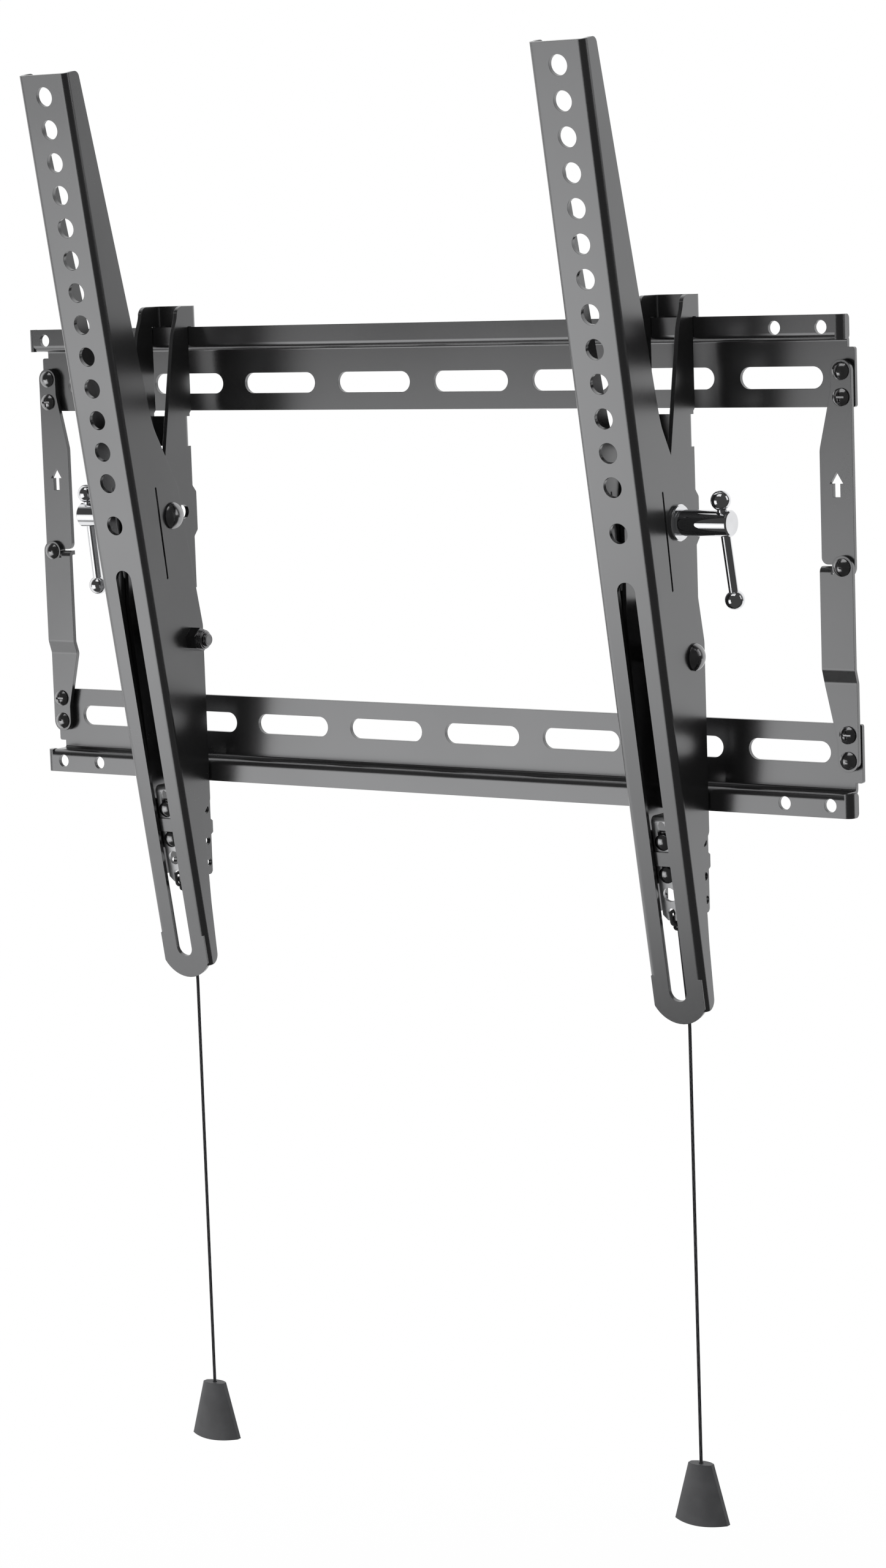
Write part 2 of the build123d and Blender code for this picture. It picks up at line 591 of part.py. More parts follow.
def hanger_outline():
    """Side of a hanger as (y, z): hook over the upper rail, back edge, tail, and sloping front."""
    strip_front = -RAIL_STEP - HOOK_ROOM
    strip_back = -RAIL_STEP + SHEET + HOOK_ROOM
    top = RAIL_TOP + HOOK_TOP
    bottom = -RAIL_TOP - HANGER_BELOW
    front_low = tilted_point(FLAP_FRONT, height_on_slope(FLAP_FRONT, bottom))[0]
    knee_height = (WEB_OUT - FLAP_FRONT - (HANGER_FRONT - PIVOT_OUT) / math.cos(math.radians(TILT)))
    knee = -PIVOT_DROP - (HANGER_FRONT - PIVOT_OUT) * SLOPE + knee_height / math.sin(math.radians(TILT))
    arc_end = CLAMP_RADIUS - PIVOT_DROP
    bump = -PIVOT_OUT + ARC_WIDTH / 2 + ARC_RIM
    lower_front = strip_front - LOWER_EASE
    key_top = -RAIL_TOP - KEY_START
    key_end = key_top - KEY_HEIGHT
    return face_of((-HOOK_FRONT, top, HOOK_CURVE), (strip_back + HOOK_LIP, top, LIP_CORNER),
                   (strip_back + HOOK_LIP, top - LIP_LENGTH, EDGE_CORNER),
                   (strip_back, top - LIP_LENGTH, EDGE_CORNER),
                   (strip_back, RAIL_TOP + HOOK_ROOM), (strip_front, RAIL_TOP + HOOK_ROOM),
                   (strip_front, STRIP_EDGE + EDGE_EASE), (-HANGER_BACK, STRIP_EDGE - EDGE_EASE),
                   (-HANGER_BACK, arc_end + BUMP_HALF + BUMP_SLANT, EDGE_CORNER),
                   (bump, arc_end + BUMP_HALF, LIP_CORNER), (bump, arc_end - BUMP_HALF, LIP_CORNER),
                   (-HANGER_BACK, arc_end - BUMP_HALF - BUMP_SLANT, EDGE_CORNER),
                   (-HANGER_BACK, -STEP_UNDER + SHEET), (lower_front, -STEP_UNDER + SHEET / 2),
                   (lower_front, -RAIL_TOP - EDGE_EASE), (-TAIL_BACK, -RAIL_TOP - TAIL_START),
                   (-TAIL_BACK, key_top), (-TAIL_BACK + KEY_DEPTH, key_top - KEY_SLANT),
                   (-TAIL_BACK + KEY_DEPTH, key_end + KEY_SLANT), (-TAIL_BACK, key_end),
                   (-TAIL_BACK, bottom, TAIL_CORNER), (front_low, bottom, TAIL_CORNER),
                   (-HANGER_FRONT, knee, KNEE_CURVE), (-HANGER_FRONT, arc_end - FRONT_DROP, FRONT_CURVE),
                   (-NECK_FRONT, RAIL_TOP - NECK_DROP, NECK_CURVE),
                   (-HOOK_FRONT, RAIL_TOP + HOOK_THROAT, THROAT_CURVE))


def hanger_web(back, bottom, height):
    """Web between a hanger's side plates, folded from them, with its back face at y = back."""
    side = HALF_HANGER - SHEET / 2
    middle = back - SHEET / 2
    front = back - FOLD - SHEET
    section = folded_sheet([(-side, front), (-side, middle), (side, middle), (side, front)], FOLD, SHEET)
    return Pos(0, 0, bottom) * extrude(section, amount=height)


def hanger():
    """Hanger: a folded channel between the ears, open at the front, with the latch wall below."""
    outline = hanger_outline()
    half = HALF_HANGER
    hook_back = HOOK_ROOM + HOOK_LIP + SHEET - RAIL_STEP
    body = side_plate(outline, HANGER_INSIDE, half) + side_plate(outline, -half, -HANGER_INSIDE)
    hook_web = (hook_back, RAIL_TOP + HOOK_TOP - LIP_LENGTH, LIP_LENGTH)
    upper_web = (-HANGER_BACK, STRIP_EDGE - UPPER_WEB_DROP - UPPER_WEB, UPPER_WEB)
    lower_web = (-HANGER_BACK, LOWER_WEB_BOTTOM - STEP_UNDER, LOWER_WEB_TOP - LOWER_WEB_BOTTOM)
    for back, bottom, height in (hook_web, upper_web, lower_web):
        room = Box(4 * half, FOLD + SHEET, height, align=(Align.CENTER, Align.MAX, Align.MIN))
        body -= Pos(0, back, bottom) * room
        body += hanger_web(back, bottom, height)
    arc = CenterArc((-PIVOT_OUT, -PIVOT_DROP), CLAMP_RADIUS, ARC_FIRST, TILT + ARC_PLAY)
    body -= side_plate(SlotArc(arc, ARC_WIDTH), -2 * half, 2 * half)
    body -= pin_x(BOLT + 2 * TURNING_FIT, -2 * half, 2 * half, -PIVOT_OUT, -PIVOT_DROP)
    for depth, drop in zip(SMALL_HOLE_DEPTHS, SMALL_HOLE_DROPS):
        body -= pin_x(SMALL_HOLE, -2 * half, 2 * half, -depth, -RAIL_TOP - drop)
    flap_middle = FLAP_FRONT + SHEET / 2
    flap_top = tilted_point(flap_middle, LATCH_ZERO - FLAP_TOP - LATCH_SHEET)
    ledge_z = -RAIL_TOP - LEDGE_DROP
    flap_low = tilted_point(flap_middle, height_on_slope(flap_middle, ledge_z))
    ledge_end = (-SPRING_OUT + SPRING_OUTER / 2 + 0.5, ledge_z)
    flap = folded_sheet([flap_top, flap_low, ledge_end], FOLD, SHEET)
    body += side_plate(flap, -HANGER_INSIDE, HANGER_INSIDE)
    leg_in = LATCH_WIDTH / 2 + STRAP_PLAY
    leg_out = leg_in + STRAP_LEG
    strap_back = LATCH_FRONT - FLAP_GAP
    strap_front = strap_back - STRAP_SHEET
    root = FLAP_FRONT + SHEET / 4
    strap = face_of((-leg_out, root), (-leg_out, strap_front, 0.8), (leg_out, strap_front, 0.8),
                    (leg_out, root), (leg_in, root), (leg_in, strap_back), (-leg_in, strap_back),
                    (-leg_in, root))
    strap = Pos(0, -WEB_OUT, LATCH_ZERO - STRAP_TOP - STRAP_HEIGHT) * extrude(strap, amount=STRAP_HEIGHT)
    body += TILTED * strap
    for place in (FIRST_RIVET, SECOND_RIVET):
        body -= TILTED * pin_y(LATCH_RIVET, FLAP_FRONT - WEB_OUT - 0.2, FLAP_FRONT - WEB_OUT + SHEET + 1,
                               0, LATCH_ZERO - place)
    return body


def latch_rivets():
    """Two shouldered rivets on which a latch slides."""
    rivets = []
    head = LATCH_FRONT - FLAP_GAP - WEB_OUT
    back = FLAP_FRONT + SHEET - WEB_OUT
    for place in (FIRST_RIVET, SECOND_RIVET):
        rivet = Pos(0, head, 0) * FRONT * domed_head(LATCH_RIVET_HEAD, LATCH_RIVET_DOME, LATCH_RIVET_RIM)
        rivet += pin_y(LATCH_RIVET, head, back, 0, 0)
        rivet += pin_y(LATCH_RIVET_TAIL, back, back + 1, 0, 0)
        rivets.append(TILTED * Pos(0, 0, LATCH_ZERO - place) * rivet)
    return rivets


def latch_plate():
    """Sprung latch: a slotted plate on the slope with a hook behind the lower rail."""
    lip_y = -RAIL_STEP + SHEET + LATCH_LIP_GAP + LATCH_SHEET / 2
    shelf = SHELF_TOP - LATCH_SHEET / 2
    bend = tilted_point(LATCH_MIDDLE, height_on_slope(LATCH_MIDDLE, shelf))
    section = folded_sheet([tilted_point(LATCH_MIDDLE, LATCH_ZERO - LATCH_LENGTH), bend,
                            (lip_y, shelf), (lip_y, -RAIL_TOP + LATCH_LIP)],
                           LATCH_BEND + LATCH_SHEET / 2, LATCH_SHEET)
    half = LATCH_WIDTH / 2
    body = side_plate(section, -half, half)
    front = LATCH_FRONT - WEB_OUT - 0.3
    back = front + LATCH_SHEET + 0.6
    for place in (FIRST_RIVET, SECOND_RIVET):
        slot = Rot(0, 0, 90) * SlotCenterToCenter(LATCH_SLOT_FREE, LATCH_SLOT_WIDTH)
        middle = LATCH_ZERO - place + LATCH_SLOT_FREE / 2
        body -= TILTED * front_plate(Pos(0, middle) * slot, front, back)
    body -= TILTED * pin_y(LATCH_HOLE, front, back, 0, LATCH_ZERO - LATCH_HOLE_PLACE)
    body -= TILTED * pin_y(CORD_HOLE, front, back, 0, LATCH_ZERO - CORD_HOLE_PLACE)
    end = LATCH_ZERO - LATCH_LENGTH
    for side in (-1, 1):
        corner = face_of((side * half, end + LATCH_CORNER), (side * (half + 1), end + LATCH_CORNER),
                         (side * (half + 1), end - 1), (side * (half - LATCH_CORNER), end - 1),
                         (side * (half - LATCH_CORNER), end))
        body -= TILTED * front_plate(corner, front, back)
    return body


def latch_spring():
    """Compression spring under the shelf of a latch."""
    low = -RAIL_TOP - LEDGE_DROP + SHEET / 2 + SPRING_SEAT
    high = SHELF_TOP - LATCH_SHEET - SPRING_SEAT
    radius = (SPRING_OUTER - SPRING_WIRE) / 2
    rise = high - low - SPRING_WIRE
    path = Helix(rise / SPRING_TURNS, rise, radius)
    section = Plane(origin=path @ 0, z_dir=path % 0) * Circle(SPRING_WIRE / 2)
    return Pos(0, -SPRING_OUT, low + SPRING_WIRE / 2) * sweep(section, path)


def cord_knot():
    """Knot behind the end of a latch, with its loop through the small hole and round the end."""
    front = LATCH_FRONT - LOOP_GAP - CORD / 2
    back = LATCH_FRONT + LATCH_SHEET + LOOP_GAP + CORD / 2
    hole = LATCH_ZERO - CORD_HOLE_PLACE
    low = LATCH_ZERO - KNOT_PLACE
    route = [(KNOT_DEPTH, low), (front, low + CORD), (front, hole), (back, hole), (KNOT_DEPTH, low + CORD)]
    route = [(0, *tilted_point(*point)) for point in route]
    path = FilletPolyline(*route, radius=LOOP_BENDS)
    section = Plane(origin=path @ 0, z_dir=path % 0) * Circle(CORD / 2)
    knot = Pos(*route[0]) * Sphere(KNOT / 2)
    return sweep(section, path) + knot - pull_cord()


def pull_cord():
    """Cord from the knot, back behind the lower end of the arm and straight down to the handle."""
    route = [(0, -CORD_KNOT_DEPTH, CORD_START), (0, CORD_BACK, ARM_END), (0, CORD_BACK, CORD_END)]
    path = FilletPolyline(*route, radius=CORD_ARC)
    section = Plane(origin=path @ 0, z_dir=path % 0) * Circle(CORD / 2)
    print("pull cord", round(path.length, 1), "mm long, arc radius", CORD_ARC)
    return sweep(section, path)


def lens(width, depth, edge):
    """Flat oval with two bulged faces and two narrow straight edges."""
    half = width / 2
    corners = [(half, -edge / 2), (half, edge / 2), (-half, edge / 2), (-half, -edge / 2)]
    return make_face([Line(corners[0], corners[1]), ThreePointArc(corners[1], (0, depth / 2), corners[2]),
                      Line(corners[2], corners[3]), ThreePointArc(corners[3], (0, -depth / 2), corners[0])])


def pull_handle():
    """Flared flat handle at the end of a pull cord."""
    top = lens(HANDLE_TOP_WIDTH, HANDLE_TOP_DEPTH, HANDLE_EDGE)
    bottom = lens(HANDLE_WIDTH, HANDLE_DEPTH, HANDLE_EDGE)
    body = loft([Pos(0, 0, -HANDLE_HEIGHT) * bottom, top])
    half = HANDLE_WIDTH / 2
    corner = HANDLE_SAG - HANDLE_HEIGHT
    border = Polyline((half, corner), (half, 1), (-half, 1), (-half, corner))
    arc = ThreePointArc((-half, corner), (0, -HANDLE_HEIGHT), (half, corner))
    body = body & front_plate(make_face([border, arc]), -HANDLE_DEPTH, HANDLE_DEPTH)
    body -= Pos(0, 0, CORD_END - HANDLE_TOP) * Cylinder(
        HANDLE_BORE / 2, HANDLE_HEIGHT, align=(Align.CENTER, Align.CENTER, Align.MIN))
    return Pos(0, CORD_BACK, HANDLE_TOP) * body


def solids_of(shapes):
    """Flat list of the solids in one shape or a list of shapes."""
    shapes = shapes if isinstance(shapes, (list, tuple)) else [shapes]
    return [solid for shape in shapes for solid in shape.solids()]


def write(name, shapes):
    """Write one node to its STEP file."""
    solids = solids_of(shapes)
    node = solids[0] if len(solids) == 1 else Compound(children=solids)
    node.label = name
    export_step(node, "parts/" + name + ".step")


def write_arm(suffix, x, mirrored, lean):
    """Write the pieces of one arm, drawn for the right and mirrored for the left."""
    pieces = {
        "hanger": hanger(),
        "latch_rivets": latch_rivets(),
        "tv_arm": arm(),
        "pivot_bolt": pivot_bolt(),
        "pivot_nut": pivot_nut(),
        "clamp_bolt": clamp_bolt(),
        "lever_washer": lever_washer(),
        "lever_shaft": lever_shaft(lean),
        "tbar": tbar(lean),
        "tbar_balls": tbar_balls(lean),
        "latch_plate": latch_plate(),
        "latch_spring": latch_spring(),
        "cord_knot": cord_knot(),
        "pull_cord": pull_cord(),
        "pull_handle": pull_handle(),
    }
    for name, shapes in pieces.items():
        solids = solids_of(shapes)
        if mirrored:
            solids = [mirror(solid, about=Plane.YZ) for solid in solids]
        write(name + "_" + suffix, [Pos(x, 0, 0) * solid for solid in solids])


upper = rail()
write("upper_rail", upper)
write("lower_rail", mirror(upper, about=Plane.XY))
for suffix, index in (("r", 0), ("l", 1)):
    write("upper_link_" + suffix, both_sides(upper_link())[index])
    write("lower_link_" + suffix, both_sides(lower_link())[index])
write("rail_rivets", rail_rivets())
write("knee_rivets", knee_rivets())
write("lock_screws", lock_screws())
write("link_spacers", link_spacers())
write_arm("r", RIGHT_ARM, False, RIGHT_LEAN)
write_arm("l", LEFT_ARM, True, LEFT_LEAN)
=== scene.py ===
import math

import bpy
from bpy.props import FloatProperty, FloatVectorProperty, IntProperty, PointerProperty
from mathutils import Matrix, Vector


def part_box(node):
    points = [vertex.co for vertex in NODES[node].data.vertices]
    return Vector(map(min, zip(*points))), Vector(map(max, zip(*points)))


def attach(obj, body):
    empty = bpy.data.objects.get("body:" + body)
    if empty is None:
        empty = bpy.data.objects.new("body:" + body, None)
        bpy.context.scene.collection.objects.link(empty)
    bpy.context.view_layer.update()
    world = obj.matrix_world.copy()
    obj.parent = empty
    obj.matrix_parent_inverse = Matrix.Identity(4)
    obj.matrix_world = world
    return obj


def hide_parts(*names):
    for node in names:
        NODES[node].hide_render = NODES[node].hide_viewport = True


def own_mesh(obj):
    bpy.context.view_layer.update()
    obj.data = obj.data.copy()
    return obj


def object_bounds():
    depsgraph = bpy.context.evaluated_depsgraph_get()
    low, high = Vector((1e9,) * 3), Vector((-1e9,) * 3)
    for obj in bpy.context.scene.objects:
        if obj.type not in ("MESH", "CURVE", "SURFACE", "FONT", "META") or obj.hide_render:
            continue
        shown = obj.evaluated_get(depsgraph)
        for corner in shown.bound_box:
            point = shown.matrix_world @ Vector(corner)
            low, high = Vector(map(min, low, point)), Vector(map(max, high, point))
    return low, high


# Dress of a tilting wall bracket for a flat television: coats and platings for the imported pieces,
# coiled latch springs, braided pull cords with their knots, and a plain studio.
# Lengths are in metres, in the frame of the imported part.

bl_info = {
    "name": "Tilting wall bracket",
    "version": (1, 0, 0),
    "blender": (4, 5, 0),
    "location": "3D View > Sidebar > Bracket",
    "description": "Coats, platings, pull cords and studio for a tilting television wall bracket",
    "category": "Object",
}

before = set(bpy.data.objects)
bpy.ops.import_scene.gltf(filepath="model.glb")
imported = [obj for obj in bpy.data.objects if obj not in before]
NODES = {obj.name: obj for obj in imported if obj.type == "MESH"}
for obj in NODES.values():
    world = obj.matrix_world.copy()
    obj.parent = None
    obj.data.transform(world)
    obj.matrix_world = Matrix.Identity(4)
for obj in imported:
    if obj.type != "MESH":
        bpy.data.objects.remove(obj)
CAD_LOW, CAD_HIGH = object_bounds()
SIDES = ("r", "l")


def pair(*kinds):
    """Names of the right and left pieces of these kinds."""
    return [kind + "_" + side for kind in kinds for side in SIDES]


COATED = ["upper_rail", "lower_rail", "link_spacers",
          *pair("upper_link", "lower_link", "hanger", "tv_arm")]
BLACK_FASTENERS = ["rail_rivets", "knee_rivets", "lock_screws",
                   *pair("latch_rivets", "clamp_bolt")]
PIVOTS = pair("pivot_bolt", "pivot_nut")
LEVERS = pair("lever_washer", "lever_shaft", "tbar", "tbar_balls")
LATCHES = pair("latch_plate")
HANDLES = pair("pull_handle")

FULL_TURN = 2 * math.pi
WHITE = (1.0, 1.0, 1.0, 1.0)
BLACK = (0.0, 0.0, 0.0, 1.0)
EDGE_SAMPLES = 6

# Thread of the pivot bolts: its pitch, where it fades out from the bracket's middle plane, and
# the parts of the relief that the thread and the marks on it take
THREAD_PITCH = 0.001
THREAD_FADE = (0.1182, 0.1184)
THREAD_RELIEF = 0.9
THREAD_WEAR = 0.06

# Latch springs: wire, turns between the end turns, the gap between closed turns in wires,
# and the part of each end turn that is closed
SPRING_WIRE = 0.0008
SPRING_TURNS = 6
CLOSED_LIFT = 0.05
CLOSED_END = 0.6
COIL_STEPS = 28
WIRE_SIDES = 10

# Route of a pull cord in y and z: out of the knot, past the arm's end, down to the handle
CORD_ROUTE = [(-0.0181, -0.1602), (-0.01268, -0.19392), (-0.01125, -0.20281), (-0.01125, -0.2118),
              (-0.01125, -0.4095)]
# Loop of a pull cord in depth and height from its knot, down the slope of the latch
LOOP = [(0.0, 0.0), (-0.0024, 0.0006), (-0.0048, 0.0018), (-0.00485, 0.004), (-0.00485, 0.0062),
        (-0.0046, 0.0070), (-0.00305, 0.0071), (-0.0015, 0.0070), (-0.0012, 0.0060),
        (-0.0009, 0.0038), (-0.0002, 0.0012), (0.0, 0.0)]
LATCH_SLOPE = math.radians(10.5)
# Knot: its radius, points of its wraps, and how far they pass over and under each other
KNOT_RADIUS = 0.003
KNOT_STEPS = 18
KNOT_WEAVE = 0.62
# Strands that slant each way round a cord
STRANDS = 4

# Soft panels: name, place, width and height, and the setting that holds the brightness
PANELS = [("key_panel", (-0.74, -1.02, -0.38), (1.2, 0.92), "key"),
          ("key_core", (-0.74, -1.02, -0.37), (0.66, 0.42), "core"),
          ("top_panel", (0.1, -0.7, 1.4), (1.2, 0.8), "fill"),
          ("right_panel", (1.5, 0.6, 0.6), (0.7, 1.0), "fill")]
PANELS_FACE = (0.0, -0.03, -0.02)
# Where the white backdrop starts and is full: the cosine of the angle to the camera's heading, or
# on the floor the distance along it
BACKDROP_EDGE = (0.05, 0.45)
# Floor: half its width, its paint, the share of lit paint that the camera sees under the bracket,
# and the distances over which that share fades
FLOOR_HALF = 4.0
FLOOR_PAINT = (0.86, 0.86, 0.86, 1.0)
SHADOW_SHARE = 0.12
SHADOW_FADE = (0.4, 2.0)
# Camera: width of its sensor in millimetres, and the nearest distance that it sees
SENSOR_WIDTH = 36.0
NEAREST_SEEN = 0.01


class BracketFinishes(bpy.types.PropertyGroup):
    coat: FloatVectorProperty(
        name="Steel coat", description="Colour of the coat on rails, links, arms and hangers",
        subtype="COLOR", size=3, min=0, max=1, default=(0.21, 0.211, 0.214))
    coat_roughness: FloatProperty(
        name="Coat roughness", description="Roughness of the coat", min=0, max=1, default=0.24,
        subtype="FACTOR")
    edge_round: FloatProperty(
        name="Edge rounding", description="Radius that the coat gives to cut edges", min=0,
        max=0.002, default=0.0002, unit="LENGTH", precision=5)
    fastener: FloatVectorProperty(
        name="Black fasteners", description="Colour of rivets, screws, bolts and nuts",
        subtype="COLOR", size=3, min=0, max=1, default=(0.3, 0.3, 0.305))
    chrome: FloatVectorProperty(
        name="Chrome", description="Colour of the clamp levers", subtype="COLOR", size=3, min=0,
        max=1, default=(0.78, 0.785, 0.8))
    zinc: FloatVectorProperty(
        name="Zinc", description="Colour of the latch plates", subtype="COLOR", size=3, min=0,
        max=1, default=(0.68, 0.685, 0.695))
    wire: FloatVectorProperty(
        name="Spring wire", description="Colour of the latch springs", subtype="COLOR", size=3,
        min=0, max=1, default=(0.42, 0.42, 0.43))
    plastic: FloatVectorProperty(
        name="Handle plastic", description="Colour of the pull handles", subtype="COLOR", size=3,
        min=0, max=1, default=(0.11, 0.111, 0.116))


class BracketCords(bpy.types.PropertyGroup):
    diameter: FloatProperty(
        name="Cord diameter", description="Diameter of the pull cords", default=0.0015,
        min=0.0005, max=0.004, unit="LENGTH", precision=4)
    length: FloatProperty(
        name="Cord length", description="Length of each pull cord from knot to handle",
        default=0.2498, min=0.05, max=1, unit="LENGTH", precision=4)
    yarn: FloatVectorProperty(
        name="Yarn", description="Colour of the braided cord", subtype="COLOR", size=3, min=0,
        max=1, default=(0.034, 0.034, 0.037))
    plaits: IntProperty(
        name="Plaits", description="Crossings of the braid along one cord", default=150, min=10,
        max=400)


class BracketStudio(bpy.types.PropertyGroup):
    camera_place: FloatVectorProperty(
        name="Camera place", description="Where the camera stands", size=3, subtype="TRANSLATION",
        unit="LENGTH", default=(1.0707, -1.5215, 0.1445))
    camera_heading: FloatProperty(
        name="Camera heading", description="How far the camera looks round to the left",
        subtype="ANGLE", unit="ROTATION", default=math.radians(35.06))
    camera_dip: FloatProperty(
        name="Camera dip", description="How far the camera looks down", subtype="ANGLE",
        unit="ROTATION", default=math.radians(7.64))
    camera_roll: FloatProperty(
        name="Camera roll", description="Roll of the camera", subtype="ANGLE", unit="ROTATION",
        default=math.radians(-1.95))
    lens: FloatProperty(
        name="Lens", description="Focal length in millimetres for a 36 mm frame", default=93.16,
        min=20, max=300)
    sky: FloatProperty(
        name="Sky light", description="Strength of the surrounding light on the bracket",
        default=0.35, min=0, max=2)
    dim_room: FloatProperty(
        name="Dim room", description="Share of the white that metal shows from behind the camera",
        default=0.06, min=0, max=1, subtype="FACTOR")
    key: FloatProperty(
        name="Key panel", description="Brightness of the soft panel at the front left, 1 is white",
        default=0.98, min=0, max=20)
    core: FloatProperty(
        name="Key core", description="Brightness that the middle of the key panel has on top",
        default=0.5, min=0, max=20)
    fill: FloatProperty(
        name="Fill panels", description="Brightness of the panels above and at the right",
        default=0.9, min=0, max=20)
    floor_drop: FloatProperty(
        name="Floor drop", description="How far the floor lies below the handles", default=0.6,
        min=0, max=3, unit="LENGTH")


class Field:
    """A shader socket that takes part in Python sums, each adding its node to the material."""

    def __init__(self, tree, socket):
        self.tree = tree
        self.socket = socket

    def node(self, kind, settings=None, inputs=None, output=0):
        """Output of a new node of this kind, its settings made before its inputs are fed."""
        made = self.tree.nodes.new(kind)
        for name, value in (settings or {}).items():
            setattr(made, name, value)
        for name, value in (inputs or {}).items():
            if isinstance(value, Field):
                self.tree.links.new(value.socket, made.inputs[name])
            else:
                made.inputs[name].default_value = value
        return Field(self.tree, made.outputs[output])

    def sum(self, operation, *others):
        """Output of one Math node on this field and others."""
        values = dict(enumerate((self,) + others))
        return self.node("ShaderNodeMath", {"operation": operation}, values)

    def __add__(self, other):
        return self.sum("ADD", other)

    def __radd__(self, other):
        return self.sum("ADD", other)

    def __mul__(self, other):
        return self.sum("MULTIPLY", other)

    def __rmul__(self, other):
        return self.sum("MULTIPLY", other)

    def __sub__(self, other):
        return self.sum("SUBTRACT", other)

    def __rsub__(self, other):
        return self.node("ShaderNodeMath", {"operation": "SUBTRACT"}, {0: other, 1: self})

    def __abs__(self):
        return self.sum("ABSOLUTE")

    def sine(self):
        return self.sum("SINE")

    def between(self, low, high):
        """0 below low, 1 above high, smooth in between."""
        return self.node("ShaderNodeMapRange", {"interpolation_type": "SMOOTHSTEP"},
                         {"Value": self, "From Min": low, "From Max": high})

    def axis(self, name):
        return self.node("ShaderNodeSeparateXYZ", None, {0: self}, name)

    def swing(self, width):
        """Spread of this width about zero, from a field that runs from 0 to 1."""
        return (self - 0.5) * width

    def span(self, low, high):
        """Values from low to high, from a field that runs from 0 to 1."""
        return self * (high - low) + low

    def blend(self, other, share):
        """This field with a share of another."""
        return self * (1 - share) + other * share

    def noise(self, scale, detail):
        return self.node("ShaderNodeTexNoise", None,
                         {"Vector": self, "Scale": scale, "Detail": detail})

    def cells(self, scale, output="Distance"):
        return self.node("ShaderNodeTexVoronoi", None, {"Vector": self, "Scale": scale}, output)

    def stretched(self, x, y, z):
        return self.node("ShaderNodeMapping", None, {"Vector": self, "Scale": (x, y, z)})

    def mix(self, first, second):
        """Colour between two colours, by this field."""
        return self.node("ShaderNodeMix", {"data_type": "RGBA"},
                         {0: self, 6: first, 7: second}, 2)

    def tint(self, colour, dark, light):
        """Tones of one colour, from its share dark to its share light, by this field."""
        return self.mix(tone(colour, dark), tone(colour, light))


class Finish:
    """One material with its Principled shader and the place of each point on the bracket."""

    def __init__(self, name, constants):
        self.material = bpy.data.materials.new(name)
        self.material.use_nodes = True
        tree = self.material.node_tree
        self.shader = tree.nodes["Principled BSDF"]
        for socket, value in constants.items():
            self.shader.inputs[socket].default_value = value
        self.start = Field(tree, self.shader.outputs[0])
        self.place = self.start.node("ShaderNodeTexCoord", output="Object")

    def feed(self, **fields):
        """Feed fields into the shader's sockets, whose names have _ for each space here."""
        for name, field in fields.items():
            field.tree.links.new(field.socket, self.shader.inputs[name.replace("_", " ")])

    def relief(self, height, depth, strength, edge=0.0):
        """Bump from a height field of this depth, over cut edges rounded by edge."""
        inputs = {"Height": height, "Distance": depth, "Strength": strength}
        if edge:
            inputs["Normal"] = self.start.node("ShaderNodeBevel", {"samples": EDGE_SAMPLES},
                                               {"Radius": edge})
        self.feed(Normal=self.start.node("ShaderNodeBump", None, inputs))


def tone(colour, factor):
    """A colour made lighter or darker, with its alpha."""
    return tuple(min(channel * factor, 1.0) for channel in colour) + (1.0,)


def add_object(name, data):
    """New object of the scene from a mesh, curve, lamp or camera."""
    made = bpy.data.objects.new(name, data)
    bpy.context.scene.collection.objects.link(made)
    return made


def give(material, names):
    """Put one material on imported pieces."""
    for name in names:
        piece = NODES[name]
        piece.data.materials.clear()
        piece.data.materials.append(material)


def coat_material(finishes):
    """Satin coat: a fine orange skin, slow cloudiness, and a little sheen on cut edges."""
    coat = Finish("satin_coat", {"Metallic": 0.94, "Specular IOR Level": 0.5})
    cloud = coat.place.noise(scale=14.0, detail=3.0)
    grain = coat.place.noise(scale=900.0, detail=2.0)
    shade = cloud.blend(grain, share=0.25).between(low=0.3, high=0.7)
    coat.feed(Base_Color=shade.tint(finishes.coat, dark=0.93, light=1.06),
              Roughness=(cloud.swing(width=0.12) + grain.swing(width=0.06)
                         + finishes.coat_roughness))
    coat.relief(grain, depth=0.00002, strength=0.14, edge=finishes.edge_round)
    return coat.material


def fastener_material(finishes):
    """Glossy black finish of rivets and screws, with faint handling marks."""
    black = Finish("gloss_black", {"Metallic": 1.0})
    marks = black.place.noise(scale=260.0, detail=4.0)
    shade = marks.between(low=0.35, high=0.75)
    black.feed(Base_Color=shade.tint(finishes.fastener, dark=0.9, light=1.15),
               Roughness=marks.span(low=0.1, high=0.24))
    black.relief(marks, depth=0.00002, strength=0.3, edge=finishes.edge_round)
    return black.material


def pivot_material(finishes):
    """Black zinc of the pivot bolts and nuts, with a thread on the bolts' free ends."""
    black = Finish("black_zinc", {"Metallic": 1.0})
    marks = black.place.noise(scale=300.0, detail=4.0)
    shade = marks.between(low=0.3, high=0.8)
    across = abs(black.place.axis("X"))
    free_end = 1 - across.between(*THREAD_FADE)
    thread = (across * (FULL_TURN / THREAD_PITCH)).sine() * free_end
    black.feed(Base_Color=shade.tint(finishes.fastener, dark=0.75, light=1.0),
               Roughness=marks.span(low=0.08, high=0.22))
    black.relief(thread * THREAD_RELIEF + marks * THREAD_WEAR, depth=0.0003, strength=1.0,
                 edge=finishes.edge_round)
    return black.material


